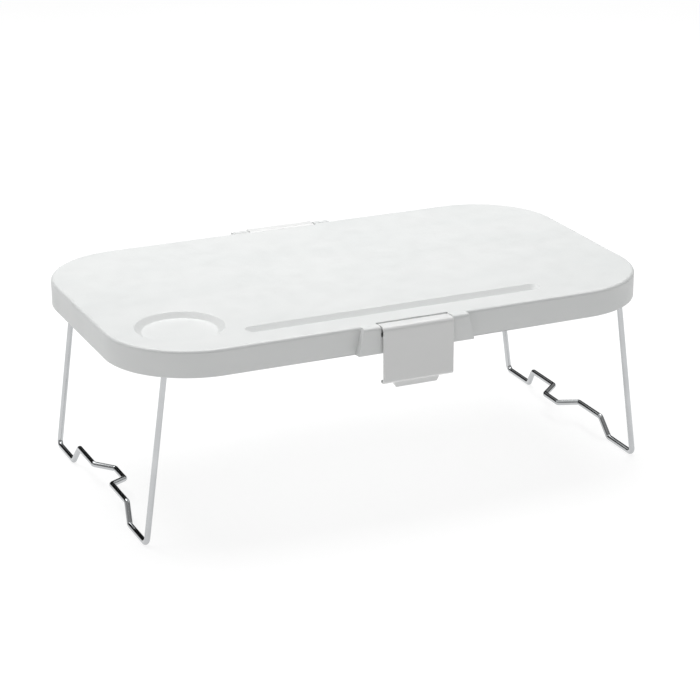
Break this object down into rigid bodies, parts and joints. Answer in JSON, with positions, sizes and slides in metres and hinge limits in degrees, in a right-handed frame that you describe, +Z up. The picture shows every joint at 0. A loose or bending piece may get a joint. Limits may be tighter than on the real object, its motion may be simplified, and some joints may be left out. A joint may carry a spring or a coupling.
{
  "type": "folding tray table",
  "caption": "White moulded tray table with a cup recess, a groove, hinged clip latches front and rear, and bent-wire legs that fold up inside its rim.",
  "frame": {"origin": "on the ground, below the middle of the tray", "axes": "+X along the tray's length, +Y towards the rear latch (front latch at -Y), +Z up"},
  "size_m": [0.6, 0.375, 0.2118],
  "materials": {
    "tray_plastic": "satin white moulded",
    "latch_plastic": "satin white moulded",
    "bracket_plastic": "satin off-white moulded",
    "leg_chrome": "polished chrome plate",
    "pin_steel": "drawn steel rod",
    "screw_steel": "zinc-plated steel"
  },
  "bodies": {
    "tray": {"tray_top": "tray_plastic", "front_latch_pin": "pin_steel", "rear_latch_pin": "pin_steel", "left_front_bracket": "bracket_plastic", "left_rear_bracket": "bracket_plastic", "right_front_bracket": "bracket_plastic", "right_rear_bracket": "bracket_plastic", "left_front_screws": "screw_steel", "left_rear_screws": "screw_steel", "right_front_screws": "screw_steel", "right_rear_screws": "screw_steel"},
    "left_leg": {"left_leg": "leg_chrome"},
    "right_leg": {"right_leg": "leg_chrome"},
    "front_latch": {"front_latch": "latch_plastic"},
    "rear_latch": {"rear_latch": "latch_plastic"}
  },
  "joints": [
    {"name": "left_leg_fold", "type": "hinge", "parent": "tray", "child": "left_leg", "pos_m": [-0.2577, 0, 0.19729], "axis": [0, -1, 0], "range_deg": [0, 94.2]},
    {"name": "right_leg_fold", "type": "hinge", "parent": "tray", "child": "right_leg", "pos_m": [0.2577, 0, 0.19729], "axis": [0, 1, 0], "range_deg": [0, 94.2]},
    {"name": "front_latch_swing", "type": "hinge", "parent": "tray", "child": "front_latch", "pos_m": [0, -0.174, 0.20679], "axis": [-1, 0, 0], "range_deg": [0, 90]},
    {"name": "rear_latch_swing", "type": "hinge", "parent": "tray", "child": "rear_latch", "pos_m": [0, 0.174, 0.20679], "axis": [1, 0, 0], "range_deg": [0, 90]}
  ]
}
